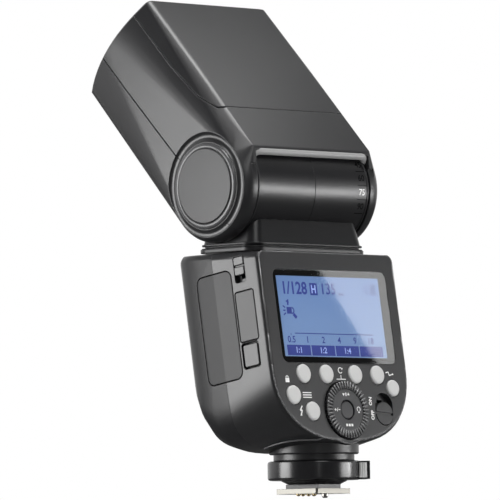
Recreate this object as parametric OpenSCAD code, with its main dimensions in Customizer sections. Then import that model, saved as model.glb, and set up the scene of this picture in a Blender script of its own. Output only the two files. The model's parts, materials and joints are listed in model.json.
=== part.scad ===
// Speedlight flash: a leaning body on a hot-shoe foot, a swivelling neck and a tilting zoom head.
// Origin on the foot's axis at the underside of the shoe plate, +Z up, +Y towards the subject.

/* [Stance] */
// Lean of the body towards the subject, in degrees
lean = 8.8; // [8:0.2:9.4]
// How far the body's own frame sits ahead of the shoe
body_ahead = 2.6; // [2.3:0.1:2.9]
// Tilt of the head above the horizon, in degrees
tilt = 45; // [0:1:90]
// Height of the tilt hinge above the shoe
hinge_z = 117; // [117:0.2:118]
// Distance of the tilt hinge ahead of the shoe
hinge_y = 18.9; // [18.6:0.1:19.2]
// Distance of the swivel axis ahead of the shoe
swivel_y = 17.6; // [17.4:0.1:17.8]

/* [Body] */
// Half the width of the body at its seam
body_half = 37.8; // [37.4:0.1:38.4]
// Distance of the control face behind the body's frame
face_y = -24.2; // [-24.6:0.1:-24]
// Where the front and rear housings meet
seam_y = -0.6; // [-0.8:0.1:-0.4]
// Wall thickness of the housings
wall = 2.4; // [2.2:0.1:2.6]

/* [Controls] */
// Radius of the large round buttons
button_r = 3.6; // [3.4:0.1:3.7]
// Radius of the wireless button
small_button_r = 3.2; // [3:0.1:3.4]
// How far the buttons stand out of the face
button_out = 0.9; // [0.7:0.1:1.1]
// Outer radius of the knurled dial
dial_r = 11; // [10.8:0.1:11.1]
// Number of ribs on the dial
dial_ribs = 44; // [36:2:48]
// Gap round the moving controls
gap = 0.3; // [0.25:0.05:0.35]

/* [Head] */
// Half the width of the head at its widest
head_half = 36.9; // [36.6:0.1:37.2]
// Length of the head ahead of its hinge
head_len = 78; // [76:1:80]
// Radius of the ears round the hinge
ear_r = 21.5; // [21:0.1:21.6]
// Radius of the drum between the ears
drum_r = 21; // [20.8:0.1:21.1]
// Where the two drum halves meet
drum_seam = 0.9; // [0:0.1:1]

/* [Foot] */
// Width of the shoe plate across the rails
shoe_w = 18.6; // [18.5:0.05:18.65]
// Length of the shoe plate
shoe_len = 22.8; // [22.4:0.1:23]
// Thickness of the shoe plate
shoe_t = 2; // [1.9:0.05:2]
// Outer radius of the lock ring
ring_r = 17.7; // [17.4:0.1:18]
// Underside of the lock ring
ring_low = 5.2; // [5.2:0.1:5.4]
// Top of the lock ring
ring_top = 12.5; // [12.3:0.1:12.5]

/* [Hidden] */
$fn = 48;
slice_t = 0.2;

// Housing slices, each [y, half width, lowest point, squareness of the chin, top, top corner radius]
chin_z = 45;
chin_steps = 28;
rear_slices = [
    [face_y, body_half - 2.6, 17, 2.4, 88.2, 2.8],
    [face_y + 0.5, body_half - 1.7, 16.2, 2.4, 88.9, 3],
    [face_y + 1.7, body_half - 1, 15.6, 2.5, 89.3, 3.2],
    [seam_y - slice_t, body_half, 16.4, 4, 92.2, 3]
];
front_slices = [
    [seam_y, body_half, 16.4, 4, 92.2, 3],
    [7.5, body_half - 0.3, 16.8, 4.2, 93.4, 2.6],
    [13, body_half - 0.8, 19, 4, 94.2, 2.6],
    [17, body_half - 1.9, 24.2, 3.5, 94.8, 2.6],
    [20.5, body_half - 4.6, 30.8, 3, 95, 3],
    [22.6, body_half - 7, 35, 2.7, 94.2, 3],
    [23.5, body_half - 9.3, 38, 2.4, 92.8, 4]
];

// Control places on the face, as [x, z]
function_x = [-20, -7.8, 7.7, 19.7];
function_z = 41.8;
menu_at = [-26.6, 33.6];
test_at = [-17.4, 27.5];
wireless_at = [27.4, 36.8];
dial_at = [0.4, 28];
switch_at = [21.2, 28.6];
switch_lean = 5;
switch_size = [9.4, 12.6];
knob_h = 8.6;
knob_drop = 1.7;
pad_r = 8.7;
set_r = 3.5;
dial_floor = 2.6;
display_size = [61, 36];
display_at = [0.5, 64];
display_open = [57, 32];
display_t = 1.2;

// Pieces on the left side, as [y, z] of the centre and [length, height]
door_at = [-0.25, 63.35];
door_size = [18.5, 41.3];
door_t = 2.6;
pack_size = [61, 17, 38];
bay_wall = 0.9;
socket_at = [-15.15, 65.4];
socket_size = [9.3, 19];
socket_t = 1.4;
release_at = [-14.9, 50.4];
release_size = [7.4, 8.6];
slider_at = [-14.2, 83.4];
slider_slot = [5.6, 10.1];
slider_size = [5, 6.9];
slider_rise = 1.3;

// Foot: the gap for the camera's rails, the sprung contacts, the locking pin and the lock ring's lug
rail_gap = 12.2;
rail_top = 3.7;
web_back = -8;
web_front = 9.2;
shoe_back = -10.4;
shoe_cut = 0.6;
contact_r = 0.85;
pin_r = 1.25;
lug_angle = -36;
lug_r = 20.3;
lug_face = -7.5;

// Levels of the neck
deck_z = 91.1;
plate_z = 91.9;
neck_z = 94.5;
tube_r = 9;
fit = 0.05;
shaft_r = 4;
ear_in = 30.4;
ear_out = 36.9;
cavity_r = drum_r + 0.4;
sweep_r = 28.6;

// Places inside the head, in its own frame
part_v = -3;
cover_u = 17.5;
cover_v = 19.2;
lens_size = [54, 34];
lens_v = 0.5;
rod_x = 27;
rod_r = 1.2;
rod_v = 15;
screw_at = [26.5, -12];
screw_r = 1.5;
card_v = 21;

// The body leans over the foot in a frame of its own
module in_body() {
    translate([0, body_ahead, 0]) rotate([-lean, 0, 0]) children();
}

// The head's frame: +Y along the beam, origin on the tilt hinge
module in_head() {
    translate([0, hinge_y, hinge_z]) rotate([tilt, 0, 0]) children();
}

module in_neck() {
    translate([0, swivel_y, 0]) children();
}

// A flat shape in X and Z, thickened from y to y + t
module slab(y, t) {
    translate([0, y + t, 0]) rotate([90, 0, 0]) linear_extrude(t) children();
}

// A flat shape in Y and Z, thickened from x0 to x1
module side_slab(x0, x1) {
    translate([x0, 0, 0]) rotate([90, 0, 90]) linear_extrude(x1 - x0) children();
}

module disc(y, t, r) {
    translate([0, y, 0]) rotate([-90, 0, 0]) cylinder(h = t, r = r);
}

module rod_x(x0, x1, r) {
    translate([x0, 0, 0]) rotate([0, 90, 0]) cylinder(h = x1 - x0, r = r);
}

module rounded_rect(size, r) {
    square([size[0] - 2 * r, size[1]], center = true);
    square([size[0], size[1] - 2 * r], center = true);
    for (sx = [-1, 1], sy = [-1, 1])
        translate([sx * (size[0] / 2 - r), sy * (size[1] / 2 - r)]) circle(r);
}

module on_face(at) {
    translate([at[0], 0, at[1]]) children();
}

function signed_pow(v, p) = sign(v) * pow(abs(v), p);

// Half-width chin curve: a superellipse from one side round the bottom to the other
function chin(hw, low, n) = [
    for (i = [0:chin_steps])
        let (t = 180 * i / chin_steps)
        [hw * signed_pow(cos(t), 2 / n), chin_z - (chin_z - low) * signed_pow(sin(t), 2 / n)]
];

function corner(x, z, r, from) = [for (i = [0:5]) [x + r * cos(from - 18 * i), z + r * sin(from - 18 * i)]];

function housing_outline(s, inset) = concat(
    chin(s[1] - inset, s[2] + inset, s[3]),
    corner(-s[1] + inset + s[5], s[4] - inset - s[5], s[5], 180),
    corner(s[1] - inset - s[5], s[4] - inset - s[5], s[5], 90)
);

module housing_form(slices) {
    hull() for (s = slices) slab(s[0], slice_t) polygon(housing_outline(s, 0));
}

// The hollow inside both housings: one prism for each half, kept a wall away from the outside
module hollow() {
    difference() {
        union() {
            slab(face_y + wall, seam_y - face_y - wall) polygon(housing_outline(rear_slices[2], wall));
            slab(seam_y - 0.01, 8) polygon(housing_outline([0, body_half - 0.4, 17.4, 4, 91.2, 6], wall));
            slab(7, 7) polygon(housing_outline([0, body_half - 0.9, 21.5, 3.4, 91.2, 6], wall));
            slab(13.5, 7) polygon(housing_outline([0, body_half - 4.5, 33, 2.6, 90, 6], wall));
        }
        rotate([lean, 0, 0]) translate([-50, -50, deck_z - 3.2]) cube([100, 100, 20]);
    }
}

// The top is planed level, so that the head swings over it
module deck_cut() {
    rotate([lean, 0, 0]) translate([-50, -60, deck_z]) cube([100, 120, 20]);
}

module dial_cradle() {
    on_face(dial_at) disc(face_y + 0.2, 7, dial_r + 1.7);
}

module dial_room() {
    on_face(dial_at) disc(face_y - 3, 10.4, dial_r + 1.95);
}

// The foot's core: cone, sleeve for the lock ring, neck and collar, notched where the dial's cradle comes down
module foot_form() {
    difference() {
        rotate_extrude() polygon([
            [0, rail_top], [10, rail_top], [12.5, ring_low - 0.3], [12.5, ring_low - 0.1], [12, ring_low - 0.1],
            [12, ring_top + 0.2], [15.4, ring_top + 0.2], [15.4, 15], [16.7, 15], [17.1, 15.4], [17.1, 22], [0, 22]
        ]);
        in_body() dial_room();
    }
}

// The bush's seat in the deck, with room below it for the tube and its clip
module bush_form() {
    in_neck() {
        translate([0, 0, deck_z - 4.6]) cylinder(h = 4.6, r = 11.5);
        translate([0, 0, deck_z - 5]) cylinder(h = 1.8, r = 14);
    }
}

// Everything that opens the left wall: door, sockets, release and slider
module side_openings() {
    side_slab(-45, -body_half + 4.4) translate(door_at)
        rounded_rect([door_size[0] + 2 * gap, door_size[1] + 2 * gap], 3.3);
    side_slab(-45, -body_half + socket_t + 0.6) translate(socket_at)
        rounded_rect([socket_size[0] + 2 * gap, socket_size[1] + 2 * gap], 1.3);
    side_slab(-body_half, -27) translate(socket_at) rounded_rect([socket_size[0] - 1.6, socket_size[1] - 2], 1);
    side_slab(-45, -body_half + 2.6) translate(release_at)
        rounded_rect([release_size[0] + 1.4, release_size[1] + 1.4], 1.2);
    side_slab(-45, -27) translate(release_at) rounded_rect([5, 5], 1);
    side_slab(-45, -body_half + 2.6) translate(slider_at) rounded_rect(slider_slot, 1);
    side_slab(-45, -29) translate(slider_at) square([2.4, 7], center = true);
}

module button_hole(at, r) {
    on_face(at) {
        disc(face_y - 1, wall + 3, r + gap);
        disc(face_y + wall + 0.05, 3, r + 0.6 + gap);
    }
}

module tube_room() {
    in_neck() translate([0, 0, deck_z - 7]) cylinder(h = 3, r = 11);
}

module rear_housing() {
    color([0.11, 0.11, 0.12]) in_body() difference() {
        union() {
            housing_form(rear_slices);
            dial_cradle();
        }
        difference() {
            hollow();
            on_face(dial_at) disc(face_y + 0.3, dial_floor + 1.6, dial_r + 1.3);
            on_face(switch_at) rotate([0, switch_lean, 0]) slab(face_y + 0.3, 4.2)
                rounded_rect([switch_size[0] + 3, switch_size[1] + 3], 5);
        }
        deck_cut();
        side_openings();
        on_face(display_at) slab(face_y - 1, display_t + 1) rounded_rect(display_size, 3);
        on_face(display_at) slab(face_y - 1, wall + 3) rounded_rect(display_open, 1);
        for (x = function_x) button_hole([x, function_z], button_r);
        button_hole(menu_at, button_r);
        button_hole(test_at, button_r);
        button_hole(wireless_at, small_button_r);
        on_face(dial_at) disc(face_y - 1, dial_floor + 1, dial_r + 0.4);
        on_face(dial_at) disc(face_y, 8, 4.4);
        on_face(switch_at) rotate([0, switch_lean, 0]) {
            slab(face_y - 1, 3.4) rounded_rect(switch_size, 4.6);
            slab(face_y, 8) square([2.6, 8], center = true);
        }
        rotate([lean, 0, 0]) translate([0, -body_ahead, 0]) {
            foot_form();
            bush_form();
            tube_room();
        }
    }
}

module front_housing() {
    color([0.09, 0.09, 0.1]) in_body() difference() {
        housing_form(front_slices);
        hollow();
        deck_cut();
        side_openings();
        on_face([0, 62]) slab(21.6, 4) rounded_rect([50, 24], 4);
        on_face([0, 62]) slab(17, 8) rounded_rect([44, 18], 2);
        on_face([-9, 44.6]) slab(21.4, 4) rounded_rect([14, 5.4], 1.4);
        on_face([10, 44.6]) disc(21.4, 4, 2.6);
        rotate([lean, 0, 0]) translate([0, -body_ahead, 0]) {
            foot_form();
            bush_form();
            tube_room();
        }
    }
}

module display_window() {
    color([0.15, 0.15, 0.17]) in_body() on_face(display_at)
        slab(face_y + 0.1, display_t - 0.1) rounded_rect([display_size[0] - 0.2, display_size[1] - 0.2], 2.9);
}

module display_panel() {
    color([0.45, 0.53, 0.8]) in_body() on_face(display_at)
        slab(face_y + display_t, 2.6) rounded_rect([display_open[0] - 0.2, display_open[1] - 0.2], 0.9);
}

module main_board() {
    color([0.05, 0.3, 0.15]) in_body() {
        translate([-26, -17, 25]) cube([52, 1.6, 59]);
        for (x = function_x) on_face([x, function_z]) disc(-19.4, 2.4, 2);
        for (at = [menu_at, test_at, wireless_at]) on_face([at[0] * 0.94, at[1]]) disc(-19.4, 2.4, 1.6);
        translate([-10, -15.4, 64]) cube([14, 1.4, 14]);
        translate([10, -15.4, 66]) cube([8, 1.2, 8]);
    }
}

module main_capacitor() {
    color([0.12, 0.14, 0.2]) in_body() translate([0, 1, 31.6]) {
        rod_x(-22, 22, 8.6);
        rod_x(22, 23.2, 7.6);
        for (y = [-3.5, 3.5]) translate([0, y, 0]) rod_x(23.2, 27, 0.5);
    }
}

module battery_bay() {
    color([0.2, 0.2, 0.21]) in_body() difference() {
        translate([-body_half + 4.6, door_at[0] - pack_size[1] / 2 - gap - bay_wall,
            door_at[1] - pack_size[2] / 2 - gap - bay_wall])
            cube([pack_size[0] - 1.4, pack_size[1] + 2 * (gap + bay_wall), pack_size[2] + 2 * (gap + bay_wall)]);
        translate([-body_half, door_at[0] - pack_size[1] / 2 - gap, door_at[1] - pack_size[2] / 2 - gap])
            cube([pack_size[0] + 1.2, pack_size[1] + 2 * gap, pack_size[2] + 2 * gap]);
    }
}

module battery_contacts() {
    color("gold") in_body() for (z = [-9, -3, 3, 9])
        translate([-body_half + pack_size[0] + 0.7, door_at[0] - 1.5, door_at[1] + z - 1]) cube([0.5, 3, 2]);
}

module socket_block() {
    color([0.3, 0.3, 0.32]) in_body() difference() {
        side_slab(-body_half + socket_t + 1.6, -27.2) translate(socket_at)
            rounded_rect([socket_size[0] - 1.6, socket_size[1] - 2], 1);
        translate([0, socket_at[0], socket_at[1] + 4.4]) rod_x(-40, -29, 1.25);
        side_slab(-40, -29) translate([socket_at[0], socket_at[1] - 3.6]) rounded_rect([3.2, 9], 1.5);
    }
}

module swivel_bush() {
    color([0.55, 0.5, 0.35]) difference() {
        bush_form();
        in_neck() translate([0, 0, 80]) cylinder(h = 20, r = tube_r + fit);
    }
}

module assist_window() {
    color([0.35, 0.02, 0.03]) in_body() on_face([0, 62]) slab(21.6, 1.8) rounded_rect([49.8, 23.8], 3.9);
}

module modelling_lamp() {
    color([0.9, 0.88, 0.75]) in_body() on_face([-9, 44.6]) slab(21.4, 1.7) rounded_rect([13.8, 5.2], 1.3);
}

module slave_sensor() {
    color([0.2, 0.02, 0.05]) in_body() on_face([10, 44.6]) disc(21.4, 1.7, 2.5);
}

module foot_block() {
    color([0.08, 0.08, 0.09]) difference() {
        union() {
            foot_form();
            translate([-rail_gap / 2, web_back, shoe_t]) cube([rail_gap, web_front - web_back, rail_top - shoe_t]);
        }
        contact_places() cylinder(h = 6, r = contact_r + fit);
        lock_pin_place() cylinder(h = 12, r = pin_r + fit);
        screw_places() cylinder(h = 8, r = 1);
    }
}

module lock_pin_place() {
    translate([0, -5.6, 0]) children();
}

module contact_places() {
    children();
    for (s = [-1, 1]) {
        translate([1.5 * s, 4.6, 0]) children();
        translate([4.2 * s, 4.4, 0]) children();
    }
}

module shoe_plate() {
    color([0.75, 0.73, 0.68]) difference() {
        translate([0, shoe_back, 0]) linear_extrude(shoe_t) polygon([
            [-shoe_w / 2, shoe_cut], [-shoe_w / 2 + shoe_cut, 0], [shoe_w / 2 - shoe_cut, 0], [shoe_w / 2, shoe_cut],
            [shoe_w / 2, shoe_len - 1.4], [shoe_w / 2 - 1.4, shoe_len], [-shoe_w / 2 + 1.4, shoe_len],
            [-shoe_w / 2, shoe_len - 1.4]
        ]);
        contact_places() translate([0, 0, -1]) cylinder(h = 5, r = 1.15);
        lock_pin_place() translate([0, 0, -1]) cylinder(h = 5, r = 1.6);
        screw_places() translate([0, 0, -1]) cylinder(h = 5, r = 1);
        screw_places() cylinder(h = 0.9, r1 = 1.8, r2 = 1);
    }
}

module screw_places() {
    for (x = [-4.3, 4.3], y = [-6.7, 7.9]) translate([x, y, 0]) children();
}

module foot_screws() {
    color("silver") screw_places() difference() {
        union() {
            cylinder(h = 0.9, r1 = 1.8, r2 = 1);
            translate([0, 0, 0.8]) cylinder(h = 6.2, r = 1);
        }
        cube([2.2, 0.4, 0.8], center = true);
        cube([0.4, 2.2, 0.8], center = true);
    }
}

// The pack slides in from the left and its cap closes the wall
module battery_pack() {
    color([0.18, 0.18, 0.19]) in_body() difference() {
        translate([-body_half + door_t + 0.4, door_at[0] - pack_size[1] / 2, door_at[1] - pack_size[2] / 2])
            cube([pack_size[0] - door_t - 0.2, pack_size[1], pack_size[2]]);
        for (z = [-9, -3, 3, 9])
            translate([-body_half + pack_size[0] - 1, door_at[0] - 2, door_at[1] + z - 1.5]) cube([3, 4, 3]);
    }
}

module battery_cap() {
    color([0.13, 0.13, 0.14]) in_body() intersection() {
        union() {
            housing_form(rear_slices);
            housing_form(front_slices);
        }
        side_slab(-45, -body_half + door_t + 0.4) translate(door_at) rounded_rect(door_size, 3);
    }
}

module battery_release() {
    color([0.13, 0.13, 0.14]) in_body() {
        intersection() {
            housing_form(rear_slices);
            side_slab(-45, -body_half + 2) translate(release_at) rounded_rect(release_size, 1);
        }
        side_slab(-body_half + 1.9, -body_half + 6) translate(release_at) rounded_rect([4.4, 4.4], 0.8);
    }
}

module socket_cover() {
    color([0.12, 0.12, 0.13]) in_body() {
        intersection() {
            housing_form(rear_slices);
            side_slab(-45, -body_half + socket_t + 0.3) translate(socket_at) rounded_rect(socket_size, 1);
        }
    }
}

module mode_slider() {
    color([0.2, 0.2, 0.21]) in_body() {
        difference() {
            side_slab(-body_half + 0.4, -body_half + 2.3) translate([slider_at[0], slider_at[1] + slider_rise])
                rounded_rect(slider_size, 0.8);
            side_slab(-body_half - 1, -body_half + 1) translate([slider_at[0], slider_at[1] + slider_rise])
                square([6, 0.7], center = true);
        }
        side_slab(-body_half + 2.2, -body_half + 6) translate([slider_at[0], slider_at[1] + slider_rise])
            square([1.8, 3], center = true);
    }
}

// A round cap with a soft edge on a wider foot that keeps it behind the face
module push_button(at, r) {
    color([0.74, 0.74, 0.74]) in_body() on_face(at) translate([0, face_y, 0]) rotate([-90, 0, 0])
        rotate_extrude() polygon([
            [0, -button_out], [r - 1.2, -button_out + 0.05], [r - 0.35, -button_out + 0.25],
            [r, -button_out + 0.7], [r, wall + 0.3], [r + 0.6, wall + 0.3], [r + 0.6, wall + 1.1], [0, wall + 1.1]
        ]);
}

module power_switch() {
    color([0.16, 0.16, 0.17]) in_body() on_face(switch_at) rotate([0, switch_lean, 0]) {
        difference() {
            translate([0, 0, -knob_drop]) slab(face_y - 0.2, 2.3) rounded_rect([switch_size[0] - 0.6, knob_h], 4.2);
            translate([-6, face_y - 0.6, -knob_drop - 0.5]) cube([12, 1.2, 1]);
        }
        translate([-1, face_y + 2, -knob_drop - 1.5]) cube([2, 4, 3]);
    }
}

// The dial's crown: ribs stand between radial slots on a plain ring
function rib_outline(r0, r1) = [
    for (i = [0:dial_ribs - 1], k = [0:3])
        let (a = 360 * (i + [-0.3, -0.2, 0.2, 0.3][k]) / dial_ribs, r = [r0, r1, r1, r0][k])
        [r * cos(a), r * sin(a)]
];

module dial_ring() {
    color([0.1, 0.1, 0.11]) in_body() on_face(dial_at) difference() {
        union() {
            slab(face_y - 1.2, 1.4) polygon(rib_outline(dial_r - 1.9, dial_r));
            disc(face_y - 0.8, dial_floor + 0.5, dial_r - 0.25);
        }
        disc(face_y - 2, 8, pad_r + gap);
    }
}

module pad_carrier() {
    color([0.25, 0.25, 0.26]) in_body() on_face(dial_at) difference() {
        disc(face_y + 1.3, 0.7, pad_r - 0.6);
        disc(face_y, 4, set_r + gap);
    }
}

module dial_pad() {
    color([0.17, 0.17, 0.18]) in_body() on_face(dial_at) translate([0, face_y, 0]) rotate([-90, 0, 0])
        rotate_extrude() polygon([
            [set_r + gap, -0.9], [pad_r - 1, -1], [pad_r - 0.3, -0.85], [pad_r, -0.4], [pad_r, 0.6],
            [set_r + gap, 0.6]
        ]);
}

module set_button() {
    color([0.2, 0.2, 0.21]) in_body() on_face(dial_at) translate([0, face_y, 0]) rotate([-90, 0, 0])
        rotate_extrude() polygon([
            [0, -0.7], [set_r - 0.6, -0.75], [set_r, -0.4], [set_r, 4], [0, 4]
        ]);
}

module lug() {
    rotate(lug_angle) translate([14, lug_face, ring_low + 0.2])
        cube([lug_r - 14, 11.5, ring_top - ring_low - 0.4]);
}

module lock_ring() {
    color([0.07, 0.07, 0.08]) difference() {
        union() {
            rotate_extrude() polygon([
                [10, ring_low], [ring_r - 0.9, ring_low], [ring_r - 0.25, ring_low + 0.3], [ring_r, ring_low + 0.9],
                [ring_r, ring_top - 0.9], [ring_r - 0.25, ring_top - 0.3], [ring_r - 0.9, ring_top], [10, ring_top]
            ]);
            lug();
        }
        cylinder(h = 20, r = 12 + fit);
        rotate(lug_angle) translate([15.9, lug_face - 1, ring_low + 0.5]) cube([3.5, 5, ring_top - ring_low - 1]);
        rotate(lug_angle) translate([16.7, lug_face + 3.9, ring_low + 2.4]) cube([2, 3.9, 2.4]);
    }
}

module lock_button() {
    color([0.5, 0.5, 0.5]) rotate(lug_angle) {
        translate([16.2, lug_face - 0.1, ring_low + 0.8]) cube([2.9, 2.4, ring_top - ring_low - 1.6]);
        for (i = [0:2])
            translate([16.6 + 0.8 * i, lug_face - 0.3, ring_low + 1.1]) cube([0.4, 0.4, ring_top - ring_low - 2.2]);
        translate([17, lug_face + 2.2, ring_low + 2.7]) cube([1.4, 3.2, 1.8]);
    }
}

module lock_pin() {
    color("silver") lock_pin_place() {
        translate([0, 0, -0.9]) cylinder(h = 9, r = pin_r);
        translate([0, 0, -1.6]) cylinder(h = 0.7, r1 = 0.8, r2 = pin_r);
    }
}

module contact_pins() {
    color("gold") contact_places() rotate_extrude() polygon([
        [0, -0.8], [0.5, -0.7], [contact_r, -0.3], [contact_r, 4], [0, 4]
    ]);
}

// Plan of the neck's plates, with well rounded corners
module neck_plan(grow) {
    translate([0, -2.2]) rounded_rect([61.6 + 2 * grow, 30.8 + 2 * grow], 6.5);
}

module swivel_plate() {
    color([0.07, 0.07, 0.08]) in_neck() difference() {
        union() {
            translate([0, 0, plate_z]) linear_extrude(1.5) neck_plan(0.8);
            translate([0, 0, plate_z + 1.5]) linear_extrude(0.4) neck_plan(0.5);
            translate([0, 0, plate_z + 1.9]) linear_extrude(neck_z - plate_z - 1.9) neck_plan(-0.4);
        }
        translate([0, 0, 80]) cylinder(h = 20, r = tube_r);
    }
}

module swivel_tube() {
    color("silver") in_neck() difference() {
        translate([0, 0, deck_z - 6.6]) cylinder(h = neck_z - deck_z + 6.6, r = tube_r);
        translate([0, 0, 80]) cylinder(h = 20, r = 6.5);
    }
}

module swivel_clip() {
    color("silver") in_neck() difference() {
        translate([0, 0, deck_z - 6.5]) cylinder(h = 1.2, r = 10.6);
        translate([0, 0, 80]) cylinder(h = 20, r = tube_r);
    }
}

// The column narrows from its flange up to the drum that it carries
module neck_cover() {
    color([0.09, 0.09, 0.1]) difference() {
        union() {
            in_neck() translate([0, 0, neck_z]) linear_extrude(0.7) neck_plan(0.4);
            in_neck() hull() {
                translate([0, -2.2, neck_z]) linear_extrude(0.7) rounded_rect([60, 29.6], 4.5);
                translate([0, -2, hinge_z - 8]) linear_extrude(0.2) rounded_rect([55, 25], 4.5);
            }
        }
        translate([0, hinge_y, hinge_z]) rod_x(-40, 40, drum_r + 0.02);
        neck_core(0);
    }
}

module neck_core(grow) {
    in_neck() translate([-9, -5, neck_z - 1]) cube([18, 10, 12]);
}

module hinge_bracket() {
    color("silver") difference() {
        union() {
            in_neck() translate([-9, -5, neck_z]) cube([18, 10, hinge_z - neck_z]);
            translate([0, hinge_y, hinge_z]) rod_x(-9, 9, 8);
        }
        translate([0, hinge_y, hinge_z]) rod_x(-20, 20, shaft_r);
    }
}

module hinge_shaft() {
    color("silver") translate([0, hinge_y, hinge_z]) difference() {
        rod_x(-34.6, 34.6, shaft_r);
        rod_x(-40, 40, 2.4);
    }
}

module drum_half(x0, x1, end) {
    translate([0, hinge_y, hinge_z]) difference() {
        rod_x(x0, x1, drum_r);
        rod_x(end > 0 ? x0 - 1 : x0 + 2, end > 0 ? x1 - 2 : x1 + 1, drum_r - 2.2);
        rod_x(-40, 40, shaft_r);
        translate([-9, -hinge_y + swivel_y - 5, -30]) cube([18, 10, 30]);
    }
}

module drum_left() {
    color([0.13, 0.13, 0.14]) drum_half(-ear_in + 0.5, drum_seam - 0.05, -1);
}

module drum_right() {
    color([0.13, 0.13, 0.14]) drum_half(drum_seam + 0.05, ear_in - 0.4, 1);
}

// Cross-section of the head: flat top and bottom, sides bowed outwards on one arc
bow_r = 50.8;
bow_v = 3.4;
function bow_x(v, half) = half - bow_r + sqrt(bow_r * bow_r - (v - bow_v) * (v - bow_v));
brow_r = 3;
function head_side(low, top, half, s) = [
    for (i = [0:12]) let (v = low + (top - low) * i / 12) [s * bow_x(v, half), v]
];
function head_brow(top, half, s) = [
    for (i = [1:6]) [s * (bow_x(top - brow_r, half) - brow_r + brow_r * cos(15 * i)), top - brow_r + brow_r * sin(15 * i)]
];
function head_outline(low, top, half) = concat(
    [[-bow_x(low, half) + 3.4, low - 1]], [[bow_x(low, half) - 3.4, low - 1]],
    head_side(low, top - brow_r, half, 1),
    head_brow(top, half, 1),
    [for (i = [5:-1:0]) head_brow(top, half, -1)[i]],
    [for (i = [12:-1:0]) head_side(low, top - brow_r, half, -1)[i]]
);

// An ear is a puck about the hinge whose outer edge is rounded over
module ear_puck(s) {
    rotate([0, 90 * s, 0]) rotate_extrude($fn = 72) polygon(concat(
        [[0, ear_in], [ear_r, ear_in]],
        [for (i = [0:5]) [ear_r - 4.4 + 4.4 * cos(18 * i), ear_out - 5 + 5 * sin(18 * i)]],
        [[0, ear_out]]
    ));
}

// The whole outside of the head, which the seams then divide
module head_form() {
    hull() {
        slab(head_len - slice_t, slice_t) polygon(head_outline(-19.3, 26.3, head_half - 0.9));
        slab(head_len - 1.2, slice_t) polygon(head_outline(-19.9, 26.9, head_half));
        slab(40, slice_t) polygon(head_outline(-20.1, 26.2, head_half));
        slab(6, slice_t) polygon(head_outline(-20.4, 24.7, head_half));
        translate([-31, -5.2, 22.74]) cube([62, 0.5, 0.8]);
        translate([-31.4, -4.6, 22.7]) cube([62.8, 1, 1.5]);
        translate([-31.6, -3.6, 22]) cube([63.2, 2, 2.5]);
        ear_puck(1);
        ear_puck(-1);
    }
}

// What the drum and the neck sweep free of the head over the whole tilt
module neck_sweep() {
    rod_x(-ear_in, ear_in, cavity_r);
    difference() {
        rod_x(-ear_in - 2.4, ear_in + 2.4, sweep_r);
        rod_x(-40, 40, ear_r + 0.01);
        rotate([-49, 0, 0]) translate([-50, 0, 0]) cube([100, 60, 60]);
        rotate([24, 0, 0]) translate([-50, 0, 0]) cube([100, 60, 60]);
    }
    difference() {
        rod_x(-ear_in, ear_in, sweep_r);
        rotate([-41, 0, 0]) translate([-50, 0, 0]) cube([100, 60, 60]);
        side_slab(-50, 50) polygon([[-5.2, 22.74], [-3.57, 21.1], [-3.57, 0], [60, 0], [60, 60], [-5.2, 60]]);
    }
}

module head_hollow() {
    slab(25.5, head_len - 25.5 + 1) polygon(head_outline(-16.4, 22.4, head_half - 2.6));
}

module ear_hub(s, grow) {
    rod_x(s > 0 ? ear_in : -ear_out - 2, s > 0 ? ear_out + 2 : -ear_in, 15.9 + grow);
}

module ear_seats() {
    for (s = [-1, 1]) {
        translate([s * (ear_out + 1.3), 0, 0]) rotate([0, 90, 0]) rotate_extrude() translate([18.7, 0]) circle(2.3);
        translate([s * (ear_out - 0.9 + 2), 0, 0]) rod_x(-2, 2, 16.4);
        translate([s * 34, 0, 0]) rod_x(-0.8, 0.8, 7);
    }
    rod_x(-34.7, 34.7, shaft_r + fit);
}

module above_parting() {
    translate([-50, -40, part_v]) cube([100, 140, 60]);
}

// The front of the top is a cover of its own, let into the shell
module cover_space() {
    side_slab(-50, 50) polygon([
        [cover_u, 40], [cover_u, 25], [cover_u + 1.5, cover_v + 4.2], [cover_u + 12, cover_v + 1.3],
        [cover_u + 30, cover_v], [100, cover_v], [100, 40]
    ]);
}

// Fine grooves in the outside of the top shell, along the parting and round the cover
module seam_grooves() {
    difference() {
        union() {
            translate([-45, 17.5, part_v - 1]) cube([90, 80, 1.4]);
            translate([0, -0.35, -0.35]) cover_space();
        }
        slab(5, 100) polygon(head_outline(-22, 24.8, head_half - 0.5));
    }
}

module head_top_shell() {
    color([0.1, 0.1, 0.11]) in_head() difference() {
        union() {
            intersection() {
                head_form();
                above_parting();
            }
            intersection() {
                head_form();
                union() {
                    ear_hub(1, 0);
                    ear_hub(-1, 0);
                }
            }
        }
        neck_sweep();
        head_hollow();
        ear_seats();
        cover_space();
        seam_grooves();
    }
}

module head_bottom_shell() {
    color([0.1, 0.1, 0.11]) in_head() difference() {
        head_form();
        above_parting();
        neck_sweep();
        head_hollow();
        ear_seats();
        ear_hub(1, 0);
        ear_hub(-1, 0);
    }
}

module head_top_cover() {
    color([0.1, 0.1, 0.11]) in_head() difference() {
        intersection() {
            head_form();
            cover_space();
        }
        head_hollow();
    }
}

module hinge_cap(s) {
    color([0.12, 0.12, 0.13]) in_head() rotate([0, 90 * s, 0]) rotate_extrude() polygon([
        [0, ear_out - 0.9], [14.3, ear_out - 0.9], [14.3, ear_out + 0.7], [13.9, ear_out + 1.1],
        [0, ear_out + 1.25]
    ]);
}

module cap_rings() {
    color([0.6, 0.6, 0.6]) in_head() for (s = [-1, 1]) rotate([0, 90 * s, 0]) rotate_extrude() polygon([
        [14.4, ear_out - 0.9], [16.4, ear_out - 0.9], [16.4, ear_out + 0.2], [15.9, ear_out + 0.7],
        [15, ear_out + 0.85], [14.4, ear_out + 0.6]
    ]);
}

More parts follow.
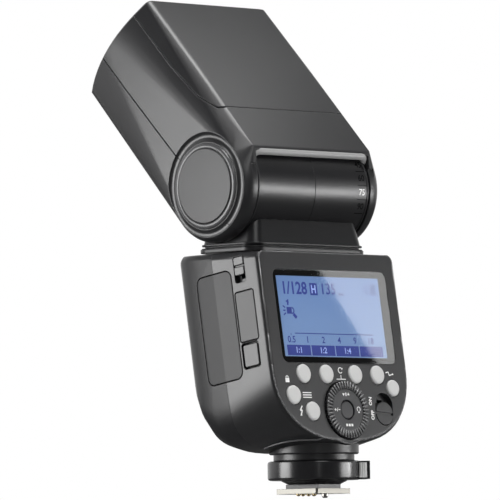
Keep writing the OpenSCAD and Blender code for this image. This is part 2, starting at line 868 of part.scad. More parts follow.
module front_bezel() {
    color([0.08, 0.08, 0.09]) in_head() difference() {
        slab(head_len - 3.4, 3) polygon(head_outline(-16.2, 22.2, head_half - 2.8));
        on_face([0, lens_v]) slab(head_len - 1.9, 3) rounded_rect(lens_size, 3);
        on_face([0, lens_v]) slab(head_len - 5, 6) rounded_rect([lens_size[0] - 4, lens_size[1] - 4], 2);
        translate([-27, head_len - 5, card_v - 1.7]) cube([54, 8, 2.8]);
    }
}

module fresnel_lens() {
    color([0.9, 0.92, 0.95]) in_head() on_face([0, lens_v]) difference() {
        slab(head_len - 1.9, 1.4) rounded_rect([lens_size[0] - 0.2, lens_size[1] - 0.2], 2.9);
        for (i = [-7:7]) translate([-25, head_len - 0.7, 2.1 * i - 0.25]) cube([50, 1, 0.5]);
    }
}

module zoom_motor() {
    color([0.6, 0.6, 0.62]) in_head() on_face(screw_at) disc(25.5, 11.5, 4.6);
}

module lead_screw() {
    color("silver") in_head() on_face(screw_at) disc(37.3, head_len - 42, screw_r);
}

module guide_rods() {
    color("silver") in_head() for (s = [-1, 1]) on_face([s * rod_x, rod_v])
        disc(25.5, head_len - 28.9, rod_r);
}

carriage_u = 44;
reflector_steps = 10;
function reflector_wall(open, deep, t) = [
    for (i = [-reflector_steps:reflector_steps])
        let (v = open * i / reflector_steps) [t + deep * (v / open) * (v / open), v]
];

// A parabolic trough carries the tube along its focus
module zoom_carriage() {
    color([0.85, 0.85, 0.87]) in_head() translate([0, carriage_u, lens_v]) difference() {
        union() {
            side_slab(-24, 24) polygon(concat(
                reflector_wall(14, 17, 0),
                [for (i = [0:2 * reflector_steps])
                    reflector_wall(15, 17, -1)[2 * reflector_steps - i]]
            ));
            for (x = [-25, 24]) side_slab(x, x + 1)
                polygon(concat(reflector_wall(15, 17, -1), [[16, 0]]));
            for (s = [-1, 1]) translate([s * rod_x, 0, rod_v - lens_v]) disc(9, 5, 2.6);
            for (s = [-1, 1]) translate([s > 0 ? 24 : -28, 9, 9]) cube([4, 5, 6]);
            translate([screw_at[0], 0, screw_at[1] - lens_v]) disc(9, 5, 3);
        }
        for (s = [-1, 1]) translate([s * rod_x, 0, rod_v - lens_v]) disc(-3, 30, rod_r + fit);
        translate([screw_at[0], 0, screw_at[1] - lens_v]) disc(-3, 30, screw_r + fit);
        translate([0, 4.4, 0]) rod_x(-30, 30, 2.2);
    }
}

module flash_tube() {
    color([0.95, 0.95, 0.9]) in_head() translate([0, carriage_u + 4.4, lens_v]) {
        rod_x(-25.4, 25.4, 2.2);
        rod_x(-27, -25.4, 1.2);
        rod_x(25.4, 27, 1.2);
    }
}

module wide_panel() {
    color([0.9, 0.9, 0.92]) in_head() translate([-26, 32, card_v - 1.4]) cube([52, head_len - 32.4, 1]);
}

module bounce_card() {
    color("white") in_head() {
        translate([-26, 32, card_v]) cube([52, head_len - 32.4, 0.8]);
        translate([-7, head_len - 0.5, card_v]) cube([14, 1.2, 0.8]);
    }
}

rear_housing();
front_housing();
display_window();
display_panel();
main_board();
main_capacitor();
battery_bay();
battery_contacts();
socket_block();
swivel_bush();
assist_window();
modelling_lamp();
slave_sensor();
foot_block();
shoe_plate();
foot_screws();
battery_pack();
battery_cap();
battery_release();
socket_cover();
mode_slider();
push_button([function_x[0], function_z], button_r);  // function_button_1
push_button([function_x[1], function_z], button_r);  // function_button_2
push_button([function_x[2], function_z], button_r);  // function_button_3
push_button([function_x[3], function_z], button_r);  // function_button_4
push_button(menu_at, button_r);  // menu_button
push_button(test_at, button_r);  // test_button
push_button(wireless_at, small_button_r);  // wireless_button
power_switch();
dial_ring();
pad_carrier();
dial_pad();
set_button();
lock_ring();
lock_button();
lock_pin();
contact_pins();
swivel_plate();
swivel_tube();
swivel_clip();
neck_cover();
hinge_bracket();
hinge_shaft();
drum_left();
drum_right();
head_top_shell();
head_bottom_shell();
head_top_cover();
hinge_cap(-1);  // hinge_cap_left
hinge_cap(1);  // hinge_cap_right
cap_rings();
front_bezel();
fresnel_lens();
zoom_motor();
lead_screw();
guide_rods();
zoom_carriage();
flash_tube();
wide_panel();
bounce_card();
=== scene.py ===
import json
from math import atan2, cos, pi, radians, sin

import bmesh
import bpy
from mathutils import Matrix, Vector
from mathutils.bvhtree import BVHTree


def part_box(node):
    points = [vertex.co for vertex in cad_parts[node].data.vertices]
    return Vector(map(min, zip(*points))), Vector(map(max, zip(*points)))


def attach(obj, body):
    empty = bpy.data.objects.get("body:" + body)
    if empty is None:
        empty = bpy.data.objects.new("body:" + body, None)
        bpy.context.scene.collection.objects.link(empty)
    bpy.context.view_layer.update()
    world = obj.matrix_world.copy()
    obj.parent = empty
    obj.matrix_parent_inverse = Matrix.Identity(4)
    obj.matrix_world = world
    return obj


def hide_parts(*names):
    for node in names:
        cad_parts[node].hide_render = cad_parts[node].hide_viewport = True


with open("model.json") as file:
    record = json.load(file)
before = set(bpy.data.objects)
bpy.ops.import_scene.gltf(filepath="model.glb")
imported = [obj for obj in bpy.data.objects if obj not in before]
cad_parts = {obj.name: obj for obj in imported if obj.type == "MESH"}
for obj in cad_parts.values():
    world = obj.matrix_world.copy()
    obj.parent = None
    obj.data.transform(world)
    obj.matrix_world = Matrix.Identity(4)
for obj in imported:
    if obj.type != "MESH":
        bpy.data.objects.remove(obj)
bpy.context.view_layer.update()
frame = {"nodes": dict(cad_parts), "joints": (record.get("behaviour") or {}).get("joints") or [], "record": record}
nodes = frame["nodes"]
joints = {joint["name"]: joint for joint in frame["joints"]}
bodyOf = {node: body for body, members in frame["record"]["behaviour"]["bodies"].items() for node in members}
mm = 0.001
scene = bpy.context.scene
print("frame loaded:", len(nodes), "nodes")


def axisOf(name):
    return Vector(joints[name]["axis"]).normalized()


def frameAt(origin, forward, up):  # millimetres in a tilted frame, turned into metres in the model's
    place = Matrix((forward.cross(up), forward, up)).transposed().to_4x4()
    place.translation = origin
    return place @ Matrix.Scale(mm, 4)


# Places on the control face, in the leaning body's own frame
face = {
    "y": -24.2,
    "dial": (0.4, 28.0),
    "display": (0.5, 64.0),
    "switch": (21.2, 28.6),
    "switchLean": 5.0,
    "functionX": (-20.0, -7.8, 7.7, 19.7),
    "functionZ": 41.8,
    "menu": (-26.6, 33.6),
    "test": (-17.4, 27.5),
    "wireless": (27.4, 36.8),
}
bodyForward = axisOf("dial_turn")
bodyUp = -axisOf("mode_slide")
bodyOrigin = Vector(joints["dial_turn"]["pos_m"]) - mm * (
    Vector((face["dial"][0], 0, 0)) + face["y"] * bodyForward + face["dial"][1] * bodyUp
)
bodyFrame = frameAt(bodyOrigin, bodyForward, bodyUp)
headForward = axisOf("zoom_travel")
hingePoint = Vector(joints["head_tilt"]["pos_m"])
headFrame = frameAt(hingePoint, headForward, Vector((1, 0, 0)).cross(headForward))
hingeFrame = frameAt(hingePoint, Vector((0, 1, 0)), Vector((0, 0, 1)))

# The camera stands low at the back left and looks slightly up
cameraView = {
    "azimuth": 44.69,
    "pitch": -3.10,
    "roll": -0.80,
    "distance": 2.3789,
    "aimHeight": 0.095,
    "slideRight": 0.02134,
    "slideUp": 0.00203,
    "focalLength": 449.6,
}


def setCamera(view):
    azimuth, pitch, roll = (radians(view[key]) for key in ("azimuth", "pitch", "roll"))
    back = Vector((-sin(azimuth) * cos(pitch), -cos(azimuth) * cos(pitch), sin(pitch)))
    levelRight = Vector((cos(azimuth), -sin(azimuth), 0))
    levelUp = back.cross(levelRight)
    right = cos(roll) * levelRight + sin(roll) * levelUp
    up = cos(roll) * levelUp - sin(roll) * levelRight
    aim = Vector((0, bodyOrigin.y, view["aimHeight"]))
    camera = bpy.data.objects.new("camera", bpy.data.cameras.new("camera"))
    scene.collection.objects.link(camera)
    place = Matrix((right, up, back)).transposed().to_4x4()
    place.translation = aim + view["distance"] * back - view["slideRight"] * right - view["slideUp"] * up
    camera.matrix_world = place
    camera.data.lens = view["focalLength"]
    camera.data.sensor_width = 36
    camera.data.clip_start = 0.05
    scene.camera = camera


setCamera(cameraView)
print("camera set")


# Shared effects: node groups that put out only values and masks
def startGroup(name, inputs, outputs):
    group = bpy.data.node_groups.new(name, "ShaderNodeTree")
    for label, value in inputs.items():
        group.interface.new_socket(label, in_out="INPUT", socket_type="NodeSocketFloat").default_value = value
    for label in outputs:
        group.interface.new_socket(label, in_out="OUTPUT", socket_type="NodeSocketFloat")
    return group, group.nodes.new("NodeGroupInput"), group.nodes.new("NodeGroupOutput")


def addNode(tree, kind, values=None, **settings):
    node = tree.nodes.new(kind)
    for key, value in settings.items():
        setattr(node, key, value)
    for key, value in (values or {}).items():
        node.inputs[key].default_value = value
    return node


def mathNode(tree, operation, first, second, clamp=False):
    node = addNode(tree, "ShaderNodeMath", operation=operation, use_clamp=clamp)
    for socket, value in zip(node.inputs, (first, second)):
        if isinstance(value, (int, float)):
            socket.default_value = value
        else:
            tree.links.new(value, socket)
    return node.outputs[0]


def makeMouldGrain():  # the fine spark-eroded grain of a moulding tool, with slow patches of sheen
    group, inside, out = startGroup("mouldGrain", {"Scale": 1800.0, "Patches": 40.0}, ("Height", "Patch"))
    place = addNode(group, "ShaderNodeTexCoord")
    fine = addNode(group, "ShaderNodeTexNoise", {"Detail": 3.0, "Roughness": 0.6})
    cells = addNode(group, "ShaderNodeTexVoronoi", feature="SMOOTH_F1")
    patches = addNode(group, "ShaderNodeTexNoise", {"Detail": 2.0, "Roughness": 0.5})
    for texture in (fine, cells, patches):
        group.links.new(place.outputs["Object"], texture.inputs["Vector"])
    group.links.new(inside.outputs["Scale"], fine.inputs["Scale"])
    group.links.new(inside.outputs["Scale"], cells.inputs["Scale"])
    group.links.new(inside.outputs["Patches"], patches.inputs["Scale"])
    height = mathNode(group, "MULTIPLY_ADD", fine.outputs["Fac"], 0.6)
    group.links.new(cells.outputs["Distance"], height.node.inputs[2])
    group.links.new(height, out.inputs["Height"])
    group.links.new(patches.outputs["Fac"], out.inputs["Patch"])
    return group


def makeEdgePolish():  # corners rounded off, and rubbed a little smoother and lighter by handling; the lighter edge colour is partly wear and partly a painted highlight
    values = {"Radius": 0.0003, "Reach": 0.25, "Breakup": 300.0}
    group, inside, out = startGroup("edgePolishAndGlint", values, ("Mask",))
    group.interface.new_socket("Normal", in_out="OUTPUT", socket_type="NodeSocketVector")
    shape = addNode(group, "ShaderNodeNewGeometry")
    rounded = addNode(group, "ShaderNodeBevel", samples=6)
    place = addNode(group, "ShaderNodeTexCoord")
    breakup = addNode(group, "ShaderNodeTexNoise", {"Detail": 2.0})
    group.links.new(inside.outputs["Radius"], rounded.inputs["Radius"])
    group.links.new(place.outputs["Object"], breakup.inputs["Vector"])
    group.links.new(inside.outputs["Breakup"], breakup.inputs["Scale"])
    along = addNode(group, "ShaderNodeVectorMath", operation="DOT_PRODUCT")
    group.links.new(rounded.outputs["Normal"], along.inputs[0])
    group.links.new(shape.outputs["Normal"], along.inputs[1])
    bent = mathNode(group, "SUBTRACT", 1.0, along.outputs["Value"])
    mask = mathNode(group, "DIVIDE", bent, inside.outputs["Reach"], clamp=True)
    group.links.new(mathNode(group, "MULTIPLY", mask, breakup.outputs["Fac"]), out.inputs["Mask"])
    group.links.new(rounded.outputs["Normal"], out.inputs["Normal"])
    return group


def makeFineDust():  # a few pale specks, mostly on what faces up
    group, inside, out = startGroup("fineDust", {"Amount": 0.3, "Scale": 900.0}, ("Mask",))
    place = addNode(group, "ShaderNodeTexCoord")
    shape = addNode(group, "ShaderNodeNewGeometry")
    split = addNode(group, "ShaderNodeSeparateXYZ")
    specks = addNode(group, "ShaderNodeTexNoise", {"Detail": 4.0, "Roughness": 0.7})
    group.links.new(place.outputs["Object"], specks.inputs["Vector"])
    group.links.new(inside.outputs["Scale"], specks.inputs["Scale"])
    group.links.new(shape.outputs["Normal"], split.inputs[0])
    peaks = mathNode(group, "SUBTRACT", specks.outputs["Fac"], 0.66, clamp=True)
    bright = mathNode(group, "MULTIPLY", peaks, 12.0, clamp=True)
    facingUp = mathNode(group, "MULTIPLY_ADD", split.outputs["Z"], 0.45, clamp=True)
    facingUp.node.inputs[2].default_value = 0.55
    settled = mathNode(group, "MULTIPLY", bright, facingUp)
    group.links.new(mathNode(group, "MULTIPLY", settled, inside.outputs["Amount"]), out.inputs["Mask"])
    return group


mouldGrain = makeMouldGrain()
edgePolishAndGlint = makeEdgePolish()
fineDust = makeFineDust()


def useGroup(tree, group, values):
    node = addNode(tree, "ShaderNodeGroup", node_tree=group)
    for key, value in values.items():
        node.inputs[key].default_value = value
    return node


def startMaterial(name):
    material = bpy.data.materials.new(name)
    material.use_nodes = True
    tree = material.node_tree
    return material, tree, tree.nodes["Principled BSDF"]


def mixColour(tree, mask, first, second):
    mix = addNode(tree, "ShaderNodeMix", data_type="RGBA")
    tree.links.new(mask, mix.inputs["Factor"])
    for socket, value in ((mix.inputs[6], first), (mix.inputs[7], second)):
        if isinstance(value, tuple):
            socket.default_value = (*value, 1)
        else:
            tree.links.new(value, socket)
    return mix.outputs[2]


dustColour = (0.42, 0.41, 0.39)


def moulded(name, look):  # plastic and rubber straight from a grained mould
    material, tree, shader = startMaterial(name)
    grain = useGroup(tree, mouldGrain, {"Scale": look["grain"], "Patches": look.get("patches", 45.0)})
    polishAndGlint = useGroup(tree, edgePolishAndGlint, {"Radius": look.get("edge", 0.3) * mm})
    dust = useGroup(tree, fineDust, {"Amount": look.get("dust", 0.12)})
    light = tuple(min(1, channel * look.get("lift", 1.12)) for channel in look["colour"])
    clouded = mixColour(tree, grain.outputs["Patch"], look["colour"], light)
    # edges are lightened in colour: partly wear, partly a painted highlight along each edge
    rubbedAndGlintColour = tuple(min(1, channel * look.get("wornAndGlinting", 2.2)) for channel in look["colour"])
    wornAndGlinting = mixColour(tree, polishAndGlint.outputs["Mask"], clouded, rubbedAndGlintColour)
    dusted = mixColour(tree, dust.outputs["Mask"], wornAndGlinting, dustColour)
    tree.links.new(dusted, shader.inputs["Base Color"])
    spread = mathNode(tree, "MULTIPLY_ADD", grain.outputs["Patch"], look.get("spread", 0.05))
    spread.node.inputs[2].default_value = look["roughness"] - look.get("spread", 0.05) / 2
    rubbed = mathNode(tree, "MULTIPLY", polishAndGlint.outputs["Mask"], -0.12)
    tree.links.new(mathNode(tree, "ADD", spread, rubbed), shader.inputs["Roughness"])
    bump = addNode(tree, "ShaderNodeBump", {"Strength": look["bump"], "Distance": look.get("depth", 0.00003)})
    tree.links.new(grain.outputs["Height"], bump.inputs["Height"])
    tree.links.new(polishAndGlint.outputs["Normal"], bump.inputs["Normal"])
    tree.links.new(bump.outputs["Normal"], shader.inputs["Normal"])
    shader.inputs["Specular IOR Level"].default_value = look.get("specular", 0.5)
    return material


def metal(name, look):  # turned or rolled metal with fine drawn lines across one axis
    material, tree, shader = startMaterial(name)
    place = addNode(tree, "ShaderNodeTexCoord")
    stretch = addNode(tree, "ShaderNodeMapping")
    stretch.inputs["Scale"].default_value = look["lines"]
    drawn = addNode(tree, "ShaderNodeTexNoise", {"Scale": 1.0, "Detail": 4.0, "Roughness": 0.6})
    tree.links.new(place.outputs["Object"], stretch.inputs["Vector"])
    tree.links.new(stretch.outputs["Vector"], drawn.inputs["Vector"])
    polishAndGlint = useGroup(tree, edgePolishAndGlint, {"Radius": look.get("edge", 0.12) * mm})
    tone = mixColour(tree, drawn.outputs["Fac"], tuple(c * 0.78 for c in look["colour"]), look["colour"])
    bright = tuple(min(1, c * 1.15) for c in look["colour"])
    tree.links.new(mixColour(tree, polishAndGlint.outputs["Mask"], tone, bright), shader.inputs["Base Color"])
    rough = mathNode(tree, "MULTIPLY_ADD", drawn.outputs["Fac"], 0.16)
    rough.node.inputs[2].default_value = look["roughness"]
    tree.links.new(rough, shader.inputs["Roughness"])
    bump = addNode(tree, "ShaderNodeBump", {"Strength": 0.25, "Distance": 0.00002})
    tree.links.new(drawn.outputs["Fac"], bump.inputs["Height"])
    tree.links.new(polishAndGlint.outputs["Normal"], bump.inputs["Normal"])
    tree.links.new(bump.outputs["Normal"], shader.inputs["Normal"])
    shader.inputs["Metallic"].default_value = 1.0
    return material


def clear(name, look):  # clear or tinted plastic and glass
    material, tree, shader = startMaterial(name)
    grain = useGroup(tree, mouldGrain, {"Scale": 400.0, "Patches": 60.0})
    tint = mixColour(tree, grain.outputs["Patch"], look["colour"], tuple(c * 0.94 for c in look["colour"]))
    tree.links.new(tint, shader.inputs["Base Color"])
    rough = mathNode(tree, "MULTIPLY_ADD", grain.outputs["Patch"], 0.02)
    rough.node.inputs[2].default_value = look["roughness"]
    tree.links.new(rough, shader.inputs["Roughness"])
    shader.inputs["Transmission Weight"].default_value = look["transmission"]
    shader.inputs["IOR"].default_value = look.get("ior", 1.49)
    return material


def glowing(name, top, bottom, strength):  # the back-lit display, paler towards its lower edge
    material, tree, shader = startMaterial(name)
    place = addNode(tree, "ShaderNodeTexCoord")
    split = addNode(tree, "ShaderNodeSeparateXYZ")
    grain = useGroup(tree, mouldGrain, {"Scale": 1600.0, "Patches": 55.0})
    low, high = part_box("display_panel")
    tree.links.new(place.outputs["Object"], split.inputs[0])
    height = addNode(tree, "ShaderNodeMapRange", {"From Min": low.z, "From Max": high.z})
    tree.links.new(split.outputs["Z"], height.inputs["Value"])
    wander = mathNode(tree, "MULTIPLY_ADD", grain.outputs["Patch"], 0.12)
    tree.links.new(height.outputs["Result"], wander.node.inputs[2])
    colour = mixColour(tree, wander, bottom, top)
    tree.links.new(colour, shader.inputs["Base Color"])
    tree.links.new(colour, shader.inputs["Emission Color"])
    shader.inputs["Emission Strength"].default_value = strength
    shader.inputs["Roughness"].default_value = 0.5
    return material


def printed(name, colour, strength=0.0, roughness=0.45):  # screen-printed ink, slightly uneven
    material, tree, shader = startMaterial(name)
    grain = useGroup(tree, mouldGrain, {"Scale": 2500.0, "Patches": 500.0})
    tone = mixColour(tree, grain.outputs["Patch"], colour, tuple(c * 0.85 for c in colour))
    tree.links.new(tone, shader.inputs["Base Color"])
    shader.inputs["Roughness"].default_value = roughness
    shader.inputs["Specular IOR Level"].default_value = 0.5 if roughness < 0.8 else 0.05
    if strength:
        tree.links.new(tone, shader.inputs["Emission Color"])
        shader.inputs["Emission Strength"].default_value = strength
    return material


plastics = {
    "bodyPlastic": dict(colour=(0.012, 0.012, 0.013), roughness=0.35, grain=3200.0, bump=0.5),
    "doorPlastic": dict(colour=(0.01, 0.01, 0.011), roughness=0.4, grain=3200.0, bump=0.5, specular=0.3),
    "frontPlastic": dict(colour=(0.009, 0.009, 0.01), roughness=0.36, grain=3200.0, bump=0.5, specular=0.38),
    "headPlastic": dict(colour=(0.012, 0.012, 0.013), roughness=0.31, grain=3000.0, bump=0.6, edge=0.4),
    "capPlastic": dict(colour=(0.02, 0.02, 0.021), roughness=0.44, grain=3200.0, bump=0.6),
    "drumPlastic": dict(colour=(0.008, 0.008, 0.009), roughness=0.3, grain=3600.0, bump=0.15),
    "ringPlastic": dict(colour=(0.008, 0.008, 0.009), roughness=0.24, grain=3000.0, bump=0.08),
    "neckPlastic": dict(colour=(0.008, 0.008, 0.009), roughness=0.32, grain=3200.0, bump=0.3, edge=0.5,
                        specular=0.32),
    # the dial's edges are lightened elevenfold: a painted highlight on the ribs of its crown
    "dialPlastic": dict(colour=(0.014, 0.014, 0.015), roughness=0.2, grain=3600.0, bump=0.1, edge=0.3,
                        specular=1.0, wornAndGlinting=11.0),
    # the dial's ribs are a pale grey copy of the dial's black plastic: a painted highlight
    "ribPaintedGlint": dict(colour=(0.13, 0.13, 0.132), roughness=0.22, grain=3600.0, bump=0.05, specular=1.0),
    "switchPlastic": dict(colour=(0.03, 0.03, 0.031), roughness=0.3, grain=3600.0, bump=0.3),
    "buttonPlastic": dict(colour=(0.49, 0.49, 0.485), roughness=0.5, grain=3600.0, bump=0.2, lift=1.04,
                          dust=0.03),
    "padRubber": dict(colour=(0.024, 0.024, 0.026), roughness=0.45, grain=3600.0, bump=0.4),
    "coverRubber": dict(colour=(0.014, 0.014, 0.015), roughness=0.42, grain=3000.0, bump=0.5),
    # the face rim and the foot arch are a paler grey than the body: a painted edge highlight
    "rimPaintedHighlight": dict(colour=(0.07, 0.07, 0.072), roughness=0.28, grain=3200.0, bump=0.1, specular=0.8),
    # the lip bead is mid grey on the head's black plastic: a painted highlight
    "lipPaintedHighlight": dict(colour=(0.25, 0.25, 0.25), roughness=0.34, grain=3200.0, bump=0.2),
    "capTrim": dict(colour=(0.05, 0.05, 0.052), roughness=0.26, grain=3600.0, bump=0.05, specular=0.4),
    "innerPlastic": dict(colour=(0.03, 0.03, 0.032), roughness=0.5, grain=2500.0, bump=0.3),
    "boardLacquer": dict(colour=(0.01, 0.09, 0.04), roughness=0.3, grain=500.0, bump=0.3, patches=300.0,
                         lift=1.8),
    "capacitorSleeve": dict(colour=(0.02, 0.03, 0.07), roughness=0.3, grain=400.0, bump=0.1, patches=120.0),
    "whiteCard": dict(colour=(0.78, 0.78, 0.77), roughness=0.6, grain=1200.0, bump=0.2, lift=1.05, dust=0.0),
    "tubeGlassFrost": dict(colour=(0.8, 0.8, 0.76), roughness=0.25, grain=800.0, bump=0.05, lift=1.1),
}
metals = {
    "turnedSteel": dict(colour=(0.58, 0.56, 0.53), roughness=0.22, lines=(60.0, 2500.0, 60.0)),
    "plateSteel": dict(colour=(0.28, 0.272, 0.247), roughness=0.36, lines=(60.0, 60.0, 4000.0)),
    "bronze": dict(colour=(0.55, 0.38, 0.2), roughness=0.3, lines=(1500.0, 1500.0, 100.0)),
    "goldPlate": dict(colour=(0.75, 0.58, 0.3), roughness=0.2, lines=(900.0, 900.0, 900.0)),
    "reflectorMetal": dict(colour=(0.8, 0.8, 0.82), roughness=0.1, lines=(100.0, 1500.0, 1500.0)),
}
clears = {
    "displayGlass": dict(colour=(0.96, 0.97, 0.98), roughness=0.02, transmission=1.0),
    "redWindow": dict(colour=(0.2, 0.004, 0.01), roughness=0.08, transmission=0.5),
    "lampWindow": dict(colour=(0.9, 0.87, 0.74), roughness=0.3, transmission=0.5),
    "lensPlastic": dict(colour=(0.93, 0.95, 0.97), roughness=0.06, transmission=0.85),
    "panelPlastic": dict(colour=(0.9, 0.92, 0.93), roughness=0.1, transmission=0.8),
}
finish = {name: moulded(name, look) for name, look in plastics.items()}
finish.update({name: metal(name, look) for name, look in metals.items()})
finish.update({name: clear(name, look) for name, look in clears.items()})
finish["displayGlow"] = glowing("displayGlow", (0.1, 0.18, 0.355), (0.17, 0.26, 0.42), 0.55)
finish["displayInk"] = printed("displayInk", (0.012, 0.03, 0.24), 0.3)
finish["displayPale"] = printed("displayPale", (0.3, 0.4, 0.7), 0.5)
finish["whitePrint"] = printed("whitePrint", (0.82, 0.82, 0.81))
finish["darkPrint"] = printed("darkPrint", (0.002, 0.002, 0.002), roughness=0.9)
finishOf = {
    "rear_housing": "bodyPlastic", "front_housing": "frontPlastic", "battery_cap": "doorPlastic",
    "battery_release": "bodyPlastic", "socket_cover": "coverRubber", "foot_block": "bodyPlastic",
    "display_window": "displayGlass", "display_panel": "displayGlow", "main_board": "boardLacquer",
    "main_capacitor": "capacitorSleeve", "battery_bay": "innerPlastic", "battery_contacts": "goldPlate",
    "socket_block": "innerPlastic", "swivel_bush": "bronze", "assist_window": "redWindow",
    "modelling_lamp": "lampWindow", "slave_sensor": "redWindow", "shoe_plate": "plateSteel",
    "foot_screws": "turnedSteel", "battery_pack": "innerPlastic", "mode_slider": "switchPlastic",
    "power_switch": "switchPlastic", "dial_ring": "dialPlastic", "pad_carrier": "innerPlastic",
    "dial_pad": "padRubber", "set_button": "padRubber", "lock_ring": "ringPlastic",
    "lock_button": "buttonPlastic", "lock_pin": "turnedSteel", "contact_pins": "goldPlate",
    "swivel_plate": "neckPlastic", "swivel_tube": "turnedSteel", "swivel_clip": "turnedSteel",
    "neck_cover": "neckPlastic", "hinge_bracket": "turnedSteel", "hinge_shaft": "turnedSteel",
    "drum_left": "drumPlastic", "drum_right": "drumPlastic", "head_top_shell": "headPlastic",
    "head_bottom_shell": "headPlastic", "head_top_cover": "headPlastic", "hinge_cap_left": "capPlastic",
    "hinge_cap_right": "capPlastic", "cap_rings": "capTrim", "front_bezel": "innerPlastic",
    "fresnel_lens": "lensPlastic", "zoom_motor": "turnedSteel", "lead_screw": "turnedSteel",
    "guide_rods": "turnedSteel", "zoom_carriage": "reflectorMetal", "flash_tube": "tubeGlassFrost",
    "wide_panel": "panelPlastic", "bounce_card": "whiteCard",
    "menu_button": "buttonPlastic", "test_button": "buttonPlastic", "wireless_button": "buttonPlastic",
    **{f"function_button_{n}": "buttonPlastic" for n in (1, 2, 3, 4)},
}


def paint(piece, material):
    piece.data.materials.clear()
    piece.data.materials.append(material)
    for polygon in piece.data.polygons:
        polygon.material_index = 0


for name, node in nodes.items():
    paint(node, finish[finishOf[name]])
print("materials made:", len(finish))

# Every piece that shows gets its moulded or turned edges: the width in millimetres, and the angle in
# degrees that counts as an edge
edges = {
    "rear_housing": (0.22, 34), "front_housing": (0.22, 34), "battery_cap": (0.22, 34),
    "battery_release": (0.3, 40), "socket_cover": (0.25, 40), "mode_slider": (0.2, 40),
    "foot_block": (0.15, 34),
    "power_switch": (0.3, 40), "dial_ring": (0.12, 40), "dial_pad": (0.15, 50), "set_button": (0.2, 50),
    "lock_ring": (0.2, 40), "lock_button": (0.12, 40), "swivel_plate": (0.3, 40), "neck_cover": (0.5, 34),
    "drum_left": (0.15, 40), "drum_right": (0.15, 40),
    "head_top_shell": (0.3, 32), "head_bottom_shell": (0.3, 32), "head_top_cover": (0.3, 32),
    "hinge_cap_left": (0.1, 50), "hinge_cap_right": (0.1, 50), "cap_rings": (0, 50),
    "front_bezel": (0.2, 40), "shoe_plate": (0.15, 40), "menu_button": (0, 60), "test_button": (0, 60),
    "wireless_button": (0, 60), "contact_pins": (0, 60), "lock_pin": (0, 60),
    **{f"function_button_{n}": (0, 60) for n in (1, 2, 3, 4)},
}


def mergedCopy(node, sharp):  # a CAD node's loose triangles, joined up so that they can be shaded and bevelled
    shape = bmesh.new()
    shape.from_mesh(node.data)
    bmesh.ops.remove_doubles(shape, verts=shape.verts, dist=2e-6)
    bmesh.ops.dissolve_degenerate(shape, edges=shape.edges, dist=1e-6)
    bmesh.ops.dissolve_limit(
        shape, angle_limit=radians(0.3), verts=shape.verts, edges=shape.edges, delimit={"NORMAL"}
    )
    for part in shape.faces:
        part.smooth = True
    for edge in shape.edges:
        edge.smooth = not edge.is_manifold or edge.calc_face_angle(0) < radians(sharp)
    mesh = bpy.data.meshes.new(node.name + "_edged")
    shape.to_mesh(mesh)
    shape.free()
    return mesh


def dress(name, width, sharp):
    piece = bpy.data.objects.new(name + "_finished", mergedCopy(nodes[name], sharp))
    scene.collection.objects.link(piece)
    paint(piece, finish[finishOf[name]])
    if width:
        bevel = piece.modifiers.new("edges", "BEVEL")
        bevel.width = width * mm
        bevel.segments = 2
        bevel.limit_method = "ANGLE"
        bevel.angle_limit = radians(sharp)
        bevel.use_clamp_overlap = True
        bevel.harden_normals = True
    weighted = piece.modifiers.new("shading", "WEIGHTED_NORMAL")
    weighted.keep_sharp = True
    weighted.weight = 80
    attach(piece, bodyOf[name])
    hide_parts(name)
    return piece


dressed = {name: dress(name, *values) for name, values in edges.items()}
print("edges finished:", len(dressed))


# Printed marks: flat shapes drawn in millimetres on a plane, then laid on the object
def layDown(piece, place, body, material):
    piece.data.transform(place)
    paint(piece, material)
    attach(piece, body)
    return piece


def meshPiece(name, shape):
    bmesh.ops.recalc_face_normals(shape, faces=shape.faces)
    mesh = bpy.data.meshes.new(name)
    shape.to_mesh(mesh)
    shape.free()
    piece = bpy.data.objects.new(name, mesh)
    scene.collection.objects.link(piece)
    return piece


inkThickness = 0.04


def letters(shape, words, at, size, turn=0.0, weight=0.0, across=1.0):  # numbers and plain signs, as solid ink
    curve = bpy.data.curves.new("letters", "FONT")
    curve.body = words
    curve.size = size
    curve.align_x = "CENTER"
    curve.align_y = "CENTER"
    curve.offset = weight
    curve.resolution_u = 3
    curve.extrude = inkThickness / 2
    drawn = bpy.data.objects.new("letters", curve)
    scene.collection.objects.link(drawn)
    bpy.context.view_layer.update()
    mesh = bpy.data.meshes.new_from_object(drawn.evaluated_get(bpy.context.evaluated_depsgraph_get()))
    mesh.transform(Matrix.Translation((*at, 0)) @ Matrix.Rotation(radians(turn), 4, "Z")
                   @ Matrix.Diagonal((across, 1, 1, 1)))
    shape.from_mesh(mesh)
    bpy.data.objects.remove(drawn)
    bpy.data.curves.remove(curve)
    bpy.data.meshes.remove(mesh)


def bar(shape, start, end, width):  # a straight stroke between two points
    run = Vector(end) - Vector(start)
    middle = (Vector(end) + Vector(start)) / 2
    place = Matrix.Translation((*middle, 0)) @ Matrix.Rotation(atan2(run.y, run.x), 4, "Z")
    bmesh.ops.create_cube(
        shape, size=1, matrix=place @ Matrix.Diagonal((run.length, width, inkThickness, 1))
    )


def block(shape, at, size):
    bar(shape, (at[0] - size[0] / 2, at[1]), (at[0] + size[0] / 2, at[1]), size[1])


def strokes(shape, points, width):
    for start, end in zip(points, points[1:]):
        bar(shape, start, end, width)


def loop(shape, at, radius, width, start=0, sweep=360, steps=20):  # a round line, whole or part of a turn
    turn = [radians(start + sweep * i / steps) for i in range(steps + 1)]
    strokes(shape, [(at[0] + radius * cos(a), at[1] + radius * sin(a)) for a in turn], width)


